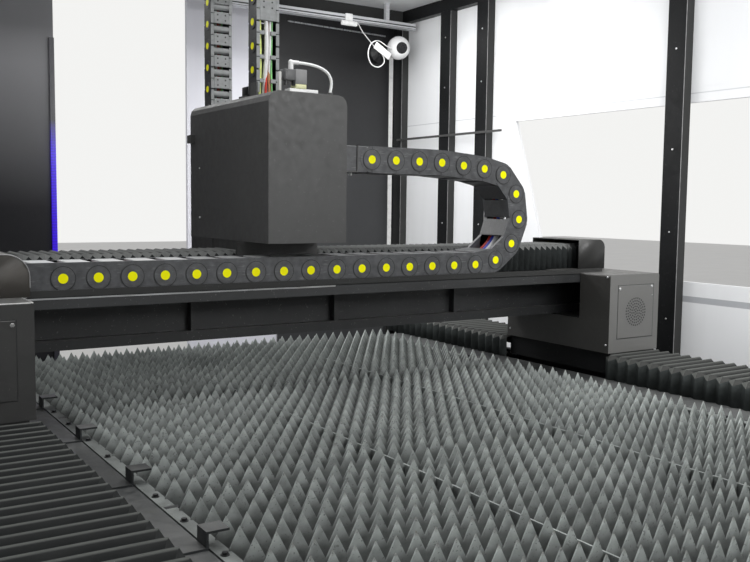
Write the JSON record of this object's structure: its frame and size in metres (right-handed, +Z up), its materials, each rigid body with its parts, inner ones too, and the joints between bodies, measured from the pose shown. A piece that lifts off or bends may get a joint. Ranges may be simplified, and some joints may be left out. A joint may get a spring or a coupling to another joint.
{
  "type": "fiber laser cutting machine",
  "caption": "Enclosed gantry laser cutting machine: a slatted pallet slides on the bed under a cross beam whose carriage lowers the cutting head; bellows and drag chains follow the moves.",
  "frame": {"origin": "on the floor under the middle of the enclosure", "axes": "+X runs along the gantry beam, +Y along the bed towards the sliding door, +Z is up"},
  "size_m": [2.8626, 4.9709, 2.4603],
  "materials": {
    "black_paint": "satin black",
    "grey_paint": "satin dark grey",
    "white_paint": "satin white",
    "steel": "ground steel",
    "zinc": "galvanised, soiled by cutting dust",
    "bellows_cloth": "coated cloth, matt",
    "chain_plastic": "moulded polyamide",
    "blue_light": "lit diffuser",
    "white_plastic": "moulded"
  },
  "bodies": {
    "machine": {"enclosure_frame_left": "black_paint", "enclosure_frame_right": "black_paint", "roof_frame": "black_paint", "far_wall_left": "black_paint", "far_wall_right": "black_paint", "door_track": "black_paint", "bed_frame": "black_paint", "bed_plate_left": "grey_paint", "bed_plate_right": "grey_paint", "side_panel_upper_left": "white_paint", "side_panel_upper_right": "white_paint", "side_panel_lower_left": "white_paint", "side_panel_lower_right": "white_paint", "roof_panel_far": "white_paint", "roof_panel_near": "white_paint", "near_wall": "white_paint", "y_guide_rail_left": "steel", "y_guide_rail_right": "steel", "y_rack_left": "steel", "y_rack_right": "steel", "pallet_track_left": "steel", "pallet_track_right": "steel", "lamp_bar": "steel", "y_bellows_left_near": "bellows_cloth", "y_bellows_left_far": "bellows_cloth", "y_bellows_right_near": "bellows_cloth", "y_bellows_right_far": "bellows_cloth", "light_strip": "blue_light", "camera_arm": "white_plastic"},
    "gantry": {"gantry_beam": "black_paint", "gantry_saddle_left": "black_paint", "gantry_saddle_right": "black_paint", "end_cover_left": "black_paint", "end_cover_right": "black_paint", "beam_hood_left": "black_paint", "beam_hood_right": "black_paint", "x_guide_rail": "steel", "x_rack": "steel", "x_bellows_left": "bellows_cloth", "x_bellows_right": "bellows_cloth", "x_drag_chain": "chain_plastic"},
    "carriage": {"carriage_block": "black_paint", "z_cover_box": "grey_paint", "solenoid_valve": "white_plastic", "air_hose": "white_plastic", "z_drag_chain": "chain_plastic"},
    "cutting_axis": {"z_slide_plate": "steel", "cutting_head": "black_paint", "nozzle": "steel", "z_chain_bracket": "black_paint"},
    "pallet": {"pallet_frame": "zinc", "slat_module_1": "zinc", "slat_module_2": "zinc", "slat_module_3": "zinc", "slat_module_4": "zinc"},
    "door": {"sliding_door": "white_paint"},
    "camera": {"camera_ball": "white_plastic"},
    "pinion_left": {"y_pinion_left": "steel"},
    "pinion_right": {"y_pinion_right": "steel"},
    "pinion_cross": {"x_pinion": "steel"}
  },
  "joints": [
    {"name": "gantry_slide", "type": "slide", "parent": "machine", "child": "gantry", "axis": [0, 1, 0], "range_m": [-2.52, 0.56], "deforming": ["y_bellows_left_near", "y_bellows_right_near", "y_bellows_left_far", "y_bellows_right_far"]},
    {"name": "carriage_slide", "type": "slide", "parent": "gantry", "child": "carriage", "axis": [1, 0, 0], "range_m": [-0.56, 0.86], "deforming": ["x_bellows_left", "x_bellows_right", "x_drag_chain"]},
    {"name": "head_slide", "type": "slide", "parent": "carriage", "child": "cutting_axis", "axis": [0, 0, 1], "range_m": [-0.105, 0.02], "deforming": ["z_drag_chain"]},
    {"name": "pallet_slide", "type": "slide", "parent": "machine", "child": "pallet", "axis": [0, 1, 0], "range_m": [-1.6, 0]},
    {"name": "door_slide", "type": "slide", "parent": "machine", "child": "door", "axis": [1, 0, 0], "range_m": [-0.61, 0.08]},
    {"name": "camera_tilt", "type": "hinge", "parent": "machine", "child": "camera", "pos_m": [1.267, 2.2447, 2.232], "axis": [1, 0, 0], "range_deg": [-30, 30]},
    {"name": "pinion_right_spin", "type": "hinge", "parent": "gantry", "child": "pinion_right", "pos_m": [1.0853, 0.695, 0.87], "axis": [0, 0, 1], "range_deg": [-7240, 1620]},
    {"name": "pinion_left_spin", "type": "hinge", "parent": "gantry", "child": "pinion_left", "pos_m": [-1.0853, 0.695, 0.87], "axis": [0, 0, 1], "range_deg": [-1620, 7240]},
    {"name": "pinion_cross_spin", "type": "hinge", "parent": "carriage", "child": "pinion_cross", "pos_m": [-0.148, 0.9103, 1.24], "axis": [0, 0, 1], "range_deg": [-2480, 1620]}
  ],
  "couplings": [
    {"joint": "pinion_right_spin", "follows": "gantry_slide", "rad_per_m": 50},
    {"joint": "pinion_left_spin", "follows": "gantry_slide", "rad_per_m": -50},
    {"joint": "pinion_cross_spin", "follows": "carriage_slide", "rad_per_m": -50}
  ]
}
